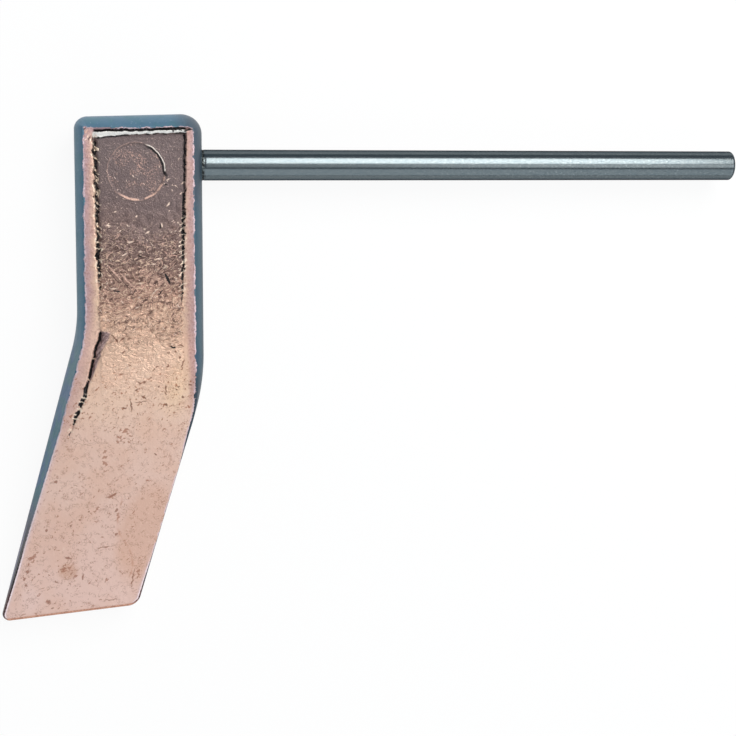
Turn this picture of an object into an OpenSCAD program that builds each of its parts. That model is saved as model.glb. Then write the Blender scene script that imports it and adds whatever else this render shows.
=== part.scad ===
// Angled hammer-form soldering copper: a forged copper head on a ground steel shank.
// The head lies flat with its marked face up. The origin is on the shank's axis where
// the shank leaves the head, +X runs out along the shank and the working edge is at -Y.

/* [Head] */
// Width across the upper part of the head
head_w = 28.2; // [26:0.1:34]
// Thickness between the two flat faces
head_t = 15; // [13:0.5:20]
// Height of the top edge above the shank's axis, at the shank's side
top_rise = 11.4; // [9.5:0.1:15]
// Drop from the shank's axis to the bend on the inner side
inner_bend = 36.7; // [32:0.1:42]
// Drop from the shank's axis to the bend on the outer side
outer_bend = 49.4; // [44:0.1:54]
// Drop from the shank's axis to the middle of the working edge
edge_drop = 102.4; // [92:0.1:112]
// Lean of the upper part from square to the shank, in degrees
upper_lean = 0.6; // [0:0.1:2]
// Slant of the inner side below the bend, in degrees
inner_slant = 16; // [13:0.5:19]
// Slant of the outer side below the bend, in degrees
outer_slant = 17.2; // [15:0.1:20]
// Skew of the top edge against the shank, in degrees
top_skew = 1.8; // [0:0.1:3]
// Skew of the working edge against the shank, in degrees
edge_skew = 3.8; // [0:0.1:8]

/* [Working edge] */
// Thickness of the rounded working edge
edge_t = 1.4; // [0.8:0.1:3]
// Length of the tapered part, from the working edge up
taper_l = 56; // [44:1:60]
// Radius that blends the flat faces into the taper
taper_blend_r = 90; // [20:5:120]
// Corner radius at the inner end of the edge
toe_r = 1.6; // [0.5:0.1:3]
// Corner radius at the outer end of the edge
heel_r = 3.1; // [1:0.1:5]

/* [Forged sides] */
// How far the long sides round inwards before they meet a face
side_inset = 2.1; // [1:0.1:3]
// Half height of the flat band along the middle of the long sides
side_flat = 3.3; // [2:0.1:4.5]
// How far the top end rounds inwards before it meets a face
top_inset = 3.4; // [2:0.1:4]
// Half height of the flat band along the middle of the top end
top_flat = 2; // [1:0.1:3]
// How far the inner side leans inwards below the bend
inner_draft = 2.2; // [1:0.1:3]
// How far the outer side leans inwards below the bend
outer_draft = 0.4; // [0.1:0.1:1]
// Corner radius at the inner end of the top
top_inner_r = 3; // [1:0.1:4]
// Corner radius at the outer end of the top
top_outer_r = 4.5; // [2:0.1:6]
// Radius of the bend on the inner side
inner_bend_r = 34; // [10:1:50]
// Radius of the bend on the outer side
outer_bend_r = 66; // [10:1:80]

/* [Struck panel] */
// Depth of the panel below the face at its top end
panel_depth = 1.4; // [0.6:0.1:2]
// Width of the rim between a long side and the panel
rim_side = 4.6; // [3.5:0.1:6]
// Width of the rim between the top end and the panel
rim_top = 3.9; // [3.5:0.1:5]
// Drop from the shank's axis to where the panel runs out level with the face
panel_end = 34; // [26:1:40]

/* [Shank] */
// Diameter of the shank
shank_d = 7; // [5:0.5:8]
// Length of the shank outside the head
shank_l = 130.2; // [80:0.1:180]
// Bevel round the shank's free end
end_bevel = 0.6; // [0.3:0.1:1.5]

/* [Press fit] */
// Depth of the blind bore in the head, without its drill point
bore_l = 20; // [14:1:24]
// Extra diameter of the knurled root over the shank
knurl_rise = 0.4; // [0.3:0.05:0.6]
// Diameter of the spot face that squares the bore's mouth
spot_face_d = 14; // [10:0.5:18]
// Number of grooves round the knurled root
groove_n = 24; // [16:2:30]
// Depth of one knurl groove
groove_depth = 0.25; // [0.15:0.05:0.35]
// Air left between the root and the bottom of the bore
root_gap = 1; // [0.5:0.5:3]

/* [Hidden] */
$fn = 96;

face_z = head_t / 2;
root_r = (shank_d + knurl_rise) / 2;
root_l = bore_l - root_gap;
root_bevel = 0.5;
drill_point_angle = 118;
groove_run_out = 1.5;
inner_flat = 0.5;
reach = 200;
over = 1;
arc_steps = 10;

inner_x = -head_w;
outer_x = 0;
edge_mid_x = inner_x - 3.5;

function unit(v) = v / norm(v);

// Direction along a line that leans by a, pointing down the head
function down(a) = [-sin(a), -cos(a)];

// Direction across the head, skewed by a
function across(a) = [cos(a), sin(a)];

// Point where the line through p along u meets the line through q along v
function meet(p, u, q, v) =
    let (t = ((q[0] - p[0]) * v[1] - (q[1] - p[1]) * v[0]) / (u[0] * v[1] - u[1] * v[0]))
    p + t * u;

// Points of the arc of radius r that rounds the corner b between a and c
function fillet(a, b, c, r) =
    let (
        u = unit(a - b),
        v = unit(c - b),
        half = acos(u * v) / 2,
        centre = b + unit(u + v) * r / sin(half),
        first = b + u * r / tan(half) - centre,
        last = b + v * r / tan(half) - centre,
        start = atan2(first[1], first[0]),
        turn = sign(first[0] * last[1] - first[1] * last[0]) * (180 - 2 * half)
    )
    [for (i = [0:arc_steps])
        let (t = start + turn * i / arc_steps)
        centre + r * [cos(t), sin(t)]];

// Outline through the corners pts, each rounded to its radius in rs
function rounded(pts, rs) =
    let (n = len(pts))
    [for (i = [0:n - 1])
        each fillet(pts[(i + n - 1) % n], pts[i], pts[(i + 1) % n], rs[i])];

// Half of a side's cross-section: straight up to flat, then curved inwards by inset
// at the face's height. The last step runs on past the face. One step makes the curve
// a straight lean.
function side_curve(inset, flat, steps) =
    let (
        rise = face_z - flat,
        r = (rise * rise + inset * inset) / (2 * inset),
        sweep = asin(rise / r),
        points = [for (i = [0:steps])
            let (t = sweep * i / steps)
            [r * cos(t) - r, flat + r * sin(t)]],
        last = points[steps] - points[steps - 1]
    )
    concat([for (i = [0:steps - 1]) points[i]], [points[steps] + last * over / last[1]]);

inner_foot = [inner_x, 0] + down(upper_lean) * inner_bend / cos(upper_lean);
outer_foot = [outer_x, 0] + down(upper_lean) * outer_bend / cos(upper_lean);
edge_mid = [edge_mid_x, -edge_drop];
top_corner = [outer_x, top_rise];

outline = [
    meet([inner_x, 0], down(upper_lean), top_corner, across(top_skew)),
    inner_foot,
    meet(inner_foot, down(inner_slant), edge_mid, across(edge_skew)),
    meet(outer_foot, down(outer_slant), edge_mid, across(edge_skew)),
    outer_foot,
    meet([outer_x, 0], down(upper_lean), top_corner, across(top_skew))
];
outline_radii = [top_inner_r, inner_bend_r, toe_r, heel_r, outer_bend_r, top_outer_r];

// The head's plan, as a block thicker than the head
module plan_block() {
    linear_extrude(height = head_t + 2 * over, center = true)
        polygon(rounded(outline, outline_radii));
}

// Everything inwards of one side. The side runs through p, and faces the direction a.
module inside_of(p, a, inset, flat, steps) {
    upper = side_curve(inset, flat, steps);
    lower = [for (i = [steps:-1:0]) [upper[i][0], -upper[i][1]]];
    translate([p[0], p[1], 0])
        rotate([0, 0, a])
            rotate([90, 0, 0])
                linear_extrude(height = 2 * reach, center = true)
                    polygon(concat(
                        [[-reach, -face_z - over]],
                        lower,
                        upper,
                        [[-reach, face_z + over]]
                    ));
}

// The space between the two working faces: tapered from the edge, then flat
module between_faces() {
    edge_r = edge_t / 2;
    shoulder = [taper_l, face_z];
    blend = fillet([edge_r, edge_r], shoulder, [reach, face_z], taper_blend_r);
    nose = [for (i = [0:arc_steps])
        let (t = 180 - 90 * i / arc_steps)
        [edge_r + edge_r * cos(t), edge_r * sin(t)]];
    upper = concat(nose, blend, [[reach, face_z]]);
    lower = [for (i = [len(upper) - 1:-1:1]) [upper[i][0], -upper[i][1]]];
    translate([edge_mid[0], edge_mid[1], 0])
        rotate([0, 0, 90 + edge_skew])
            rotate([90, 0, 0])
                linear_extrude(height = 2 * reach, center = true)
                    polygon(concat(upper, lower));
}

// Room over the struck panel: its floor slopes from the top end up to the face
module panel_room() {
    panel_top = top_rise - head_w / 2 * tan(top_skew) - rim_top;
    deepest = [panel_top - panel_depth, face_z - panel_depth];
    run_out = [-panel_end, face_z];
    rotate([0, 0, -upper_lean])
        translate([inner_x + rim_side, 0, 0])
            rotate([90, 0, 90])
                linear_extrude(height = head_w - 2 * rim_side)
                    polygon([
                        deepest + [panel_depth + over, panel_depth + over],
                        deepest,
                        run_out + (run_out - deepest) * over / panel_depth
                    ]);
}

// Blind bore for the shank's root, drilled in from the outer side through a spot face
module shank_bore() {
    point_l = root_r / tan(drill_point_angle / 2);
    rotate([0, 90, 0]) {
        cylinder(h = over, d = spot_face_d);
        translate([0, 0, -bore_l])
            cylinder(h = bore_l + over, r = root_r);
        translate([0, 0, -bore_l - point_l])
            cylinder(h = point_l, r1 = 0, r2 = root_r);
    }
}

module copper_head() {
    color([0.86, 0.71, 0.64])
        difference() {
            intersection() {
                plan_block();
                between_faces();
                union() {
                    inside_of([inner_x, 0], 180 - upper_lean, side_inset, side_flat, arc_steps);
                    inside_of(inner_foot, 180 - inner_slant, inner_draft, inner_flat, 1);
                }
                inside_of([outer_x, 0], -upper_lean, side_inset, side_flat, arc_steps);
                inside_of(outer_foot, -outer_slant, outer_draft, side_flat, 1);
                inside_of(top_corner, 90 + top_skew, top_inset, top_flat, arc_steps);
            }
            panel_room();
            mirror([0, 0, 1])
                panel_room();
            shank_bore();
        }
}

module steel_shank() {
    color([0.42, 0.48, 0.52])
        rotate([0, 90, 0])
            difference() {
                rotate_extrude()
                    polygon([
                        [0, -root_l],
                        [root_r - root_bevel, -root_l],
                        [root_r, root_bevel - root_l],
                        [root_r, 0],
                        [shank_d / 2, 0],
                        [shank_d / 2, shank_l - end_bevel],
                        [shank_d / 2 - end_bevel, shank_l],
                        [0, shank_l]
                    ]);
                for (i = [0:groove_n - 1])
                    rotate([0, 0, i * 360 / groove_n])
                        translate([root_r, 0, -root_l - over])
                            rotate([0, 0, 45])
                                linear_extrude(height = root_l + over - groove_run_out)
                                    square(groove_depth * sqrt(2), center = true);
            }
}

copper_head();
steel_shank();
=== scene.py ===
import bpy
import numpy as np
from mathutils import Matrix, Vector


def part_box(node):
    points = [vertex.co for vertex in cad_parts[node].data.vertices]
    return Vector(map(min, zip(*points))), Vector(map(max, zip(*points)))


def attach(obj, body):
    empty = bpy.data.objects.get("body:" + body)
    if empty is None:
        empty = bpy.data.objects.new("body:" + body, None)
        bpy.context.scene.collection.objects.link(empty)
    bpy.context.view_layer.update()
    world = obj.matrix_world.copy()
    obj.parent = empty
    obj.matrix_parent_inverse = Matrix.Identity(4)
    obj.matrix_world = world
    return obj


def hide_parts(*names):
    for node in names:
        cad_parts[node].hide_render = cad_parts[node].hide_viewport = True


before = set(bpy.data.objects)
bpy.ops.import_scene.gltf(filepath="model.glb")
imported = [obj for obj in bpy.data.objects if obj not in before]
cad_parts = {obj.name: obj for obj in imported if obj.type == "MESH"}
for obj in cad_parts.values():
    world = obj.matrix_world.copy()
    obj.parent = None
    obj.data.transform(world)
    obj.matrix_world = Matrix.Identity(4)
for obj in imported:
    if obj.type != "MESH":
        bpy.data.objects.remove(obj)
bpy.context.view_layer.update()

# The copper head: its plan
# One bar of copper, forged to an angled hammer form and drawn down to a working edge. All of
# its sizes are in millimetres, in the frame of the CAD, and become metres in the mesh.
MM = 0.001
head_width = 28.2
head_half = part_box("copper_head")[1].z / MM
top_rise = 11.4
inner_bend = 36.7
outer_bend = 49.4
edge_drop = 102.4
edge_back = 3.5
upper_lean = np.radians(0.6)
inner_slant = np.radians(16)
outer_slant = np.radians(17.2)
top_skew = np.radians(1.8)
edge_skew = np.radians(3.8)
corner_radii = {
    "top_inner": 3,
    "inner_bend": 34,
    "toe": 1.6,
    "heel": 3.1,
    "outer_bend": 45,
    "top_outer": 4.5,
}


def down(lean):
    """Unit vector down a line that leans by an angle: minus its sine, minus its cosine."""
    return np.array([-np.sin(lean), -np.cos(lean)])


def across(skew):
    """Unit vector across the head, skewed by an angle: its cosine, its sine."""
    return np.array([np.cos(skew), np.sin(skew)])


def crossing(p, u, q, v):
    """Point where the line through p along u meets the line through q along v."""
    reach = ((q[0] - p[0]) * v[1] - (q[1] - p[1]) * v[0]) / (u[0] * v[1] - u[1] * v[0])
    return p + reach * u


def corner_arc(before, corner, after, radius, steps=64):
    """Arc that rounds a corner. Its centre lies on the corner's bisector, at the radius over
    the sine of half the corner's angle, and it runs between the points where it touches the
    two sides."""
    u = (before - corner) / np.linalg.norm(before - corner)
    v = (after - corner) / np.linalg.norm(after - corner)
    half = np.arccos(u @ v) / 2
    bisector = (u + v) / np.linalg.norm(u + v)
    centre = corner + bisector * radius / np.sin(half)
    first = corner + u * radius / np.tan(half) - centre
    last = corner + v * radius / np.tan(half) - centre
    turn = np.sign(first[0] * last[1] - first[1] * last[0]) * (np.pi - 2 * half)
    angle = np.arctan2(first[1], first[0]) + turn * np.linspace(0, 1, 2 * steps + 1)
    return centre + radius * np.stack([np.cos(angle), np.sin(angle)], 1)


inner_side = np.array([-head_width, 0.0])
outer_side = np.array([0.0, 0.0])
inner_foot = inner_side + down(upper_lean) * inner_bend / np.cos(upper_lean)
outer_foot = outer_side + down(upper_lean) * outer_bend / np.cos(upper_lean)
edge_middle = np.array([-head_width - edge_back, -edge_drop])
top_corner = np.array([0.0, top_rise])
corners = [
    crossing(inner_side, down(upper_lean), top_corner, across(top_skew)),
    inner_foot,
    crossing(inner_foot, down(inner_slant), edge_middle, across(edge_skew)),
    crossing(outer_foot, down(outer_slant), edge_middle, across(edge_skew)),
    outer_foot,
    crossing(outer_side, down(upper_lean), top_corner, across(top_skew)),
]
arcs = [
    corner_arc(corners[i - 1], corners[i], corners[(i + 1) % 6], radius)
    for i, radius in enumerate(corner_radii.values())
]
half_arc = len(arcs[0]) // 2
left_line = np.concatenate([arcs[0][half_arc:], arcs[1], arcs[2][: half_arc + 1]])
bottom_line = np.concatenate([arcs[2][half_arc:], arcs[3][: half_arc + 1]])
right_line = np.concatenate([arcs[3][half_arc:], arcs[4], arcs[5][: half_arc + 1]])[::-1]
top_line = np.concatenate([arcs[5][half_arc:], arcs[0][: half_arc + 1]])[::-1]


# The copper head: its two struck faces
# Each flat face has a sunken panel, pressed in by a die that tore a crease along both of the
# panel's sides and left a step at its top; the finish paints the creases with dark shade and the
# step with a bright highlight. A second crease runs down from the bend.
edge_radius = 0.7
taper_length = 56
taper_blend = 90
panel_left = -23.72
panel_left_slant = 0.0185
panel_right = -4.2
panel_right_slant = 0.028
panel_depth = 1.4
panel_deepest = 5.7
panel_end = -34
step_top = 3.75
step_foot = 5.0
ring_centre = np.array([-14.8, -1.65])
ring_radius = 6.25
second_crease = np.array(
    [[-23.5, -37.1], [-23.9, -39.2], [-24.9, -41.6], [-26.2, -47.1], [-27.9, -52.7], [-31.0, -60.3]]
)
thinnest = 0.3
far_off = 9.0
lattice_cells = 256


def smooth(low, high, value):
    """Ease from 0 at low to 1 at high: three times the square of the share, less twice its cube."""
    share = np.clip((value - low) / (high - low), 0, 1)
    return share * share * (3 - 2 * share)


def bell(value, width):
    """Bell curve: e to minus the square of the value over the width."""
    return np.exp(-((value / width) ** 2))


def grain(x, y, size, seed):
    """Random relief from -1 to 1 with bumps of about the given size: random heights at the
    corners of a square lattice that starts away from the origin, eased between the corners."""
    heights = np.random.default_rng(seed).uniform(-1, 1, (lattice_cells, lattice_cells))
    u = x / size + 71.3
    v = y / size + 38.9
    column = np.floor(u).astype(int)
    row = np.floor(v).astype(int)
    right = smooth(0, 1, u - column)
    up = smooth(0, 1, v - row)
    here, beyond = column % lattice_cells, (column + 1) % lattice_cells
    lower, upper = row % lattice_cells, (row + 1) % lattice_cells
    near = heights[here, lower] * (1 - right) + heights[beyond, lower] * right
    far = heights[here, upper] * (1 - right) + heights[beyond, upper] * right
    return near * (1 - up) + far * up


def face_height(x, y):
    """Height of the plain face over the head's middle plane. Going up from the working edge it
    is a quarter round, then a straight taper, then an arc that blends into the flat."""
    inward = np.array([-np.sin(edge_skew), np.cos(edge_skew)])
    s = (x - edge_middle[0]) * inward[0] + (y - edge_middle[1]) * inward[1]
    slope = np.arctan2(head_half - edge_radius, taper_length - edge_radius)
    touch = taper_blend * np.tan(slope / 2)
    flat_from = taper_length + touch
    arc_from = taper_length - touch * np.cos(slope)
    nose = np.sqrt(np.maximum(edge_radius**2 - np.maximum(edge_radius - s, 0) ** 2, 0))
    taper = edge_radius + (s - edge_radius) * np.tan(slope)
    arc = head_half - taper_blend + np.sqrt(taper_blend**2 - np.clip(flat_from - s, 0, 2 * touch) ** 2)
    return np.select([s < edge_radius, s < arc_from, s < flat_from], [nose, taper, arc], head_half)


def struck_face(x, y, seed, ringed):
    """The face's relief and its paint masks, for points x, y of one face.

    The sink is how far a point lies below the plain face. It is the panel's slope, times eased
    walls at its two sides and its stepped top, plus a bell-shaped crack in each crease, the
    hollow beside the second crease, the struck ring's floor less its lip, and the hammered
    grain. Grain that is given 0 times x changes along y only, and the other way round."""
    level_x = x - y * np.tan(upper_lean)
    from_top = top_rise + x * np.tan(top_skew) - y
    left_wobble = 0.22 * grain(0 * x, y, 0.9, seed) + 0.16 * grain(0 * x, y, 0.4, seed + 1)
    right_wobble = 0.22 * grain(0 * x, y, 0.8, seed + 2) + 0.16 * grain(0 * x, y, 0.35, seed + 3)
    in_left = level_x - panel_left + panel_left_slant * y + left_wobble
    in_right = panel_right + panel_right_slant * y - level_x + 0.7 * right_wobble
    in_top = from_top + 0.10 * grain(x, 0 * y, 1.1, seed + 4) + 0.05 * grain(x, 0 * y, 0.4, seed + 5)
    depth = panel_depth * np.clip((y - panel_end) / (top_rise - panel_deepest - panel_end), 0, 1)
    top_wall = smooth(step_top - 0.15, step_foot, in_top)
    inside = smooth(-0.42, 0.05, in_left) * smooth(-0.30, 0.10, in_right) * top_wall
    within = smooth(-0.6, 0, in_left) * smooth(-0.5, 0, in_right)

    fade_left = smooth(-33, -22, y) * smooth(step_top - 0.4, step_foot, from_top)
    fade_right = smooth(-32, -20, y) * smooth(step_top, step_foot, from_top)
    tooth = (y / 1.75 + 0.35 * in_left + 0.5 * grain(0 * x, y, 3.1, seed + 6)) % 1
    sliver = bell(tooth - 0.5, 0.13) * smooth(0.0, 0.25, grain(x, y, 2.6, seed + 7) + 0.25)
    crack_left = bell(in_left - 0.02, 0.36) * fade_left * (1 - 0.9 * sliver)
    crack_right = bell(in_right + 0.02, 0.17) * fade_right * smooth(-0.7, 0.0, grain(x, y, 0.9, seed + 8))
    crack_top = bell(in_top - (step_top - 0.2), 0.17)
    crack_top = crack_top * smooth(-0.3, 0.4, in_left) * smooth(-1.3, -0.3, in_right)

    start, end = second_crease[[0, -1]]
    middle = np.interp(-y, -second_crease[:, 1], second_crease[:, 0])
    beside = x - middle + 0.16 * grain(0 * x, y, 1.3, seed + 9) + 0.10 * grain(0 * x, y, 0.5, seed + 10)
    run = np.clip((start[1] - y) / (start[1] - end[1]), 0, 1)
    on_run = smooth(start[1] + 0.3, start[1] - 0.5, y) * smooth(end[1] - 0.3, end[1] + 2, y)
    gaps = 1 - smooth(0.35, 0.7, run) * smooth(0.0, 0.35, grain(x, y, 0.8, seed + 11))
    crack_second = bell(beside, 0.36 - 0.20 * run) * on_run * gaps
    hollow_width = 2.6 * np.clip(1 - 1.7 * run, 0.02, 1) + 0.1
    hollow = np.clip(1 - beside / hollow_width, 0, 1) * (beside > -0.2) * on_run * smooth(0.62, 0.4, run)

    ring_out = np.hypot(x - ring_centre[0], y - ring_centre[1]) - ring_radius
    ring_turn = np.arctan2(y - ring_centre[1], x - ring_centre[0])
    to_right = 0.5 + 0.5 * np.cos(ring_turn - 0.2)
    ring_lip = bell(ring_out - 0.10, 0.17) * ringed
    ring_floor = smooth(0.05, -0.12, ring_out) * ringed * (0.04 + 0.10 * to_right)

    hammered = smooth(-3, -16, y) * smooth(-50, -36, y) * within
    coarse = grain(x + 0.4 * grain(x, y, 2.3, seed + 12), y, 1.25, seed + 13)
    fine = grain(x, y + 0.3 * coarse, 0.62, seed + 14)
    relief = 0.6 * coarse + 0.5 * fine
    rough = (0.010 + 0.085 * hammered) * (0.9 - relief)

    sink = depth * inside + 0.55 * crack_left + 0.35 * crack_right + 0.75 * crack_top
    sink = sink + 0.8 * crack_second * (1 - 0.5 * run) + 0.45 * hollow**1.3
    sink = sink + ring_floor - 0.05 * ring_lip * (0.3 + 0.7 * to_right) + rough
    inward = (y - edge_middle[1]) * np.cos(edge_skew) - (x - edge_middle[0]) * np.sin(edge_skew)
    masks = {
        "nose": smooth(0.9, 0.3, inward),
        "panel": within * smooth(step_top, step_foot, in_top),
        "from_top": in_top,
        "from_left": in_left,
        "from_right": in_right,
        "beside_second": beside,
        "hollow": hollow,
        "ring_out": np.where(ringed, ring_out, far_off),
        "ring_right": np.cos(ring_turn - 0.55),
        "ring_foot": np.cos(ring_turn + 1.2),
    }
    return np.maximum(sink, 0), masks


# The copper head: its mesh
# Both faces are grids that fill the plan's outline, and the forged side between them is a
# stack of loops, rounded towards each face. The whole is one closed skin.
def spaced(stops):
    """Shares from 0 to 1 for a grid's lines, from stretches given as (end, spacing): each
    stretch is cut into equal steps of about its spacing."""
    lines = [np.array([0.0])]
    start = 0.0
    for end, spacing in stops:
        count = max(1, round((end - start) / spacing))
        lines.append(start + (end - start) * np.arange(1, count + 1) / count)
        start = end
    lines = np.concatenate(lines)
    return lines / lines[-1]


# Rows and columns as (end, spacing) in millimetres, closest at the step and at the creases
row_stretches = [(2.1, 0.35), (5.3, 0.13), (21, 0.27), (57, 0.26), (75, 0.42), (110, 0.62), (114.4, 0.3)]
column_stretches = [(2.2, 0.32), (4.4, 0.14), (17.8, 0.25), (20.3, 0.17), (23.4, 0.32)]
row_share = spaced(row_stretches)
column_share = spaced(column_stretches)
rows = len(row_share)
columns = len(column_share)


def side_points(line, shares, axis):
    """Points of a side's line at shares of its run along one axis, with that side's outward
    normals. The tangent is the line's slope, and the normal is the tangent turned a quarter."""
    run = line[:, axis]
    order = np.argsort(run)
    level = line[0, axis] + (line[-1, axis] - line[0, axis]) * shares
    other = np.interp(level, run[order], line[order, 1 - axis])
    points = np.empty((len(shares), 2))
    points[:, axis] = level
    points[:, 1 - axis] = other
    tangent = np.gradient(line, axis=0)
    tangent = tangent / np.maximum(np.linalg.norm(tangent, axis=1, keepdims=True), 1e-9)
    tangent = np.stack([np.interp(level, run[order], tangent[order, k]) for k in (0, 1)], 1)
    normal = np.stack([tangent[:, 1], -tangent[:, 0]], 1)
    return points, normal / np.linalg.norm(normal, axis=1, keepdims=True)


top_points, top_normals = side_points(top_line, column_share, 0)
right_points, right_normals = side_points(right_line, row_share, 1)
bottom_points, bottom_normals = side_points(bottom_line, column_share, 0)
left_points, left_normals = side_points(left_line, row_share, 1)


def one_loop(top, right, bottom, left):
    """Four sides as one loop: along the top, down the right, back along the bottom and up the
    left, with each corner once."""
    return np.concatenate([top[:-1], right[:-1], bottom[:0:-1], left[:0:-1]])


loop = one_loop(top_points, right_points, bottom_points, left_points)
loop_normal = one_loop(-top_normals, -right_normals, bottom_normals, left_normals)

# How far each place of the side rounds inwards, by the way that it faces and how far down it is
side_inset = {"left": 1.8, "low_left": 1.85, "right": 2.1, "low_right": 0.2, "top": 3.1}
low_left_lean = 0.31
upright_side = 0.44
upright_top = 0.27
arc_reach = 0.84
faces_left = smooth(0.3, 0.8, -loop_normal[:, 0])
faces_right = smooth(0.3, 0.8, loop_normal[:, 0])
faces_up = smooth(0.35, 0.8, loop_normal[:, 1])
faces_down = smooth(0.35, 0.8, -loop_normal[:, 1])
below_inner = smooth(-35, -43, loop[:, 1])
below_outer = smooth(-42, -59, loop[:, 1])
loop_face = face_height(*loop.T)
low_left_inset = np.minimum(low_left_lean * loop_face, side_inset["low_left"])
left_inset = side_inset["left"] * (1 - below_inner) + low_left_inset * below_inner
right_inset = side_inset["right"] * (1 - below_outer) + side_inset["low_right"] * below_outer
top_inset = np.full_like(left_inset, side_inset["top"])
edge_inset = np.full_like(left_inset, edge_radius)
weights = np.stack([faces_left, faces_right, faces_up, faces_down])
all_weights = weights.sum(0)
inset = (weights * np.stack([left_inset, right_inset, top_inset, edge_inset])).sum(0) / all_weights

# At the two top corners the inset stays under the corner's radius, so that no loop crosses itself
corner_limit = np.where(loop[:, 0] < -20, 2.9, 4.3)
inset = np.where(loop[:, 1] > 6, np.minimum(inset, corner_limit), inset)
rim = loop - loop_normal * inset[:, None]
rim_face = np.maximum(face_height(*rim.T), edge_radius)
roundness = np.clip((faces_left * (1 - below_inner) + faces_right + faces_up) / all_weights, 0, 1)
upright = faces_left * upright_side * (1 - below_inner) + faces_right * upright_side
flat_share = np.clip((upright + faces_up * upright_top) / all_weights, 0, 1)
nose_share = faces_down / all_weights


def side_loop(level):
    """One loop of the forged side, at a level from 0 at the middle plane to 1 at the front face
    and -1 at the back. The inset grows away from the middle: evenly on the lower inner side,
    as an arc where the side is forged round, and as a quarter round on the working edge."""
    risen = np.clip((abs(level) - flat_share) / (1 - flat_share), 0, 1)
    arc = (1 - np.sqrt(1 - (arc_reach * risen) ** 2)) / (1 - np.sqrt(1 - arc_reach**2))
    nose = 1 - np.sqrt(1 - level**2)
    share = (risen * (1 - roundness) + arc * roundness) * (1 - nose_share) + nose * nose_share
    place = loop - loop_normal * (inset * share)[:, None]
    return np.column_stack([place, rim_face * level])


def fill(edge):
    """Grid inside a closed edge of points: the sides' blend across plus the sides' blend down,
    less the blend of the four corners (a Coons patch)."""
    top = edge[:columns]
    right = edge[columns - 1 : columns + rows - 1]
    bottom = edge[columns + rows - 2 : 2 * columns + rows - 2][::-1]
    left = np.concatenate([edge[2 * columns + rows - 3 :], edge[:1]])[::-1]
    u = column_share[None, :, None]
    v = row_share[:, None, None]
    sides = (1 - u) * left[:, None] + u * right[:, None]
    ends = (1 - v) * top[None] + v * bottom[None]
    four = (1 - v) * ((1 - u) * top[0] + u * top[-1]) + v * ((1 - u) * bottom[0] + u * bottom[-1])
    return sides + ends - four


plan = fill(rim)
plan_x = plan[..., 0]
plan_y = plan[..., 1]
rim_depth = np.minimum(
    np.minimum(plan_x - plan_x[:, :1], plan_x[:, -1:] - plan_x) * np.cos(upper_lean),
    np.hypot(plan_x - plan_x[:1], plan_y - plan_y[:1]),
)


def head_face(seed, ringed):
    """One face's heights and masks. Relief fades out at the grid's edge, which the side shares."""
    sink, masks = struck_face(plan_x, plan_y, seed, ringed)
    height = np.maximum(face_height(plan_x, plan_y), edge_radius)
    held = smooth(0, 0.25, rim_depth)
    return np.maximum(height - sink * held, thinnest), masks


front_height, front_masks = head_face(seed=11, ringed=True)
back_height, back_masks = head_face(seed=47, ringed=False)
side_steps = 10
side_levels = [np.sin(np.pi / 2 * k / side_steps) for k in range(side_steps - 1, -side_steps, -1)]
loops = np.stack([side_loop(level) for level in side_levels])
count = rows * columns
front_index = np.arange(count).reshape(rows, columns)
back_index = front_index + count
side_index = 2 * count + np.arange(loops[..., 0].size).reshape(loops.shape[:2])


def grid_edge(index):
    """A grid's border as one loop of indices."""
    return one_loop(index[0], index[:, -1], index[-1], index[:, 0])


for height in (front_height, back_height):
    height.reshape(-1)[grid_edge(front_index)] = rim_face
points = np.concatenate([
    np.dstack([plan_x, plan_y, front_height]).reshape(-1, 3),
    np.dstack([plan_x, plan_y, -back_height]).reshape(-1, 3),
    loops.reshape(-1, 3),
])


def quads(index, turned):
    """Four-sided faces between a grid's neighbouring rows and columns."""
    corners_of = [index[:-1, :-1], index[1:, :-1], index[1:, 1:], index[:-1, 1:]]
    if turned:
        corners_of = corners_of[::-1]
    return np.stack(corners_of, -1).reshape(-1, 4)


stack = np.vstack([grid_edge(front_index), side_index, grid_edge(back_index)])
stack = np.hstack([stack, stack[:, :1]])
faces = np.concatenate([quads(front_index, False), quads(back_index, True), quads(stack, True)])


def linked(made):
    """Put a new object into the scene, and hand it on."""
    bpy.context.scene.collection.objects.link(made)
    return made


def smooth_object(name, points, faces):
    """A smooth-shaded object at the origin, from points in millimetres and lists of corners."""
    mesh = bpy.data.meshes.new(name)
    mesh.from_pydata((points * MM).tolist(), [], faces)
    mesh.validate()
    mesh.shade_smooth()
    return linked(bpy.data.objects.new(name, mesh))


head = smooth_object("forged_head", points, faces.tolist())


def keep(name, front, back, side):
    """Store one paint mask on the head: the front face's values, the back's, then the side's."""
    values = np.concatenate([np.ravel(front), np.ravel(back), np.ravel(side)]).astype(np.float32)
    head.data.attributes.new(name, "FLOAT", "POINT").data.foreach_set("value", values)


def below_rim(level, level_points):
    """How far a side loop's points lie from the rim of the face on their side, or for the middle
    loop from the rim's plan in the middle plane, counted down from 0."""
    return -np.linalg.norm(level_points - np.column_stack([rim, np.sign(level) * rim_face]), axis=1)


# On the side a mask is 0 and a distance is far off, except the nose, which runs round the edge
for name in front_masks:
    side_value = far_off if name.startswith(("from", "ring", "beside")) else 0.0
    side_values = nose_share if name == "nose" else np.full(len(loop), side_value)
    keep(name, front_masks[name], back_masks[name], np.tile(side_values, len(loops)))
keep("from_rim", rim_depth, rim_depth, [below_rim(*pair) for pair in zip(side_levels, loops)])
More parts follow.
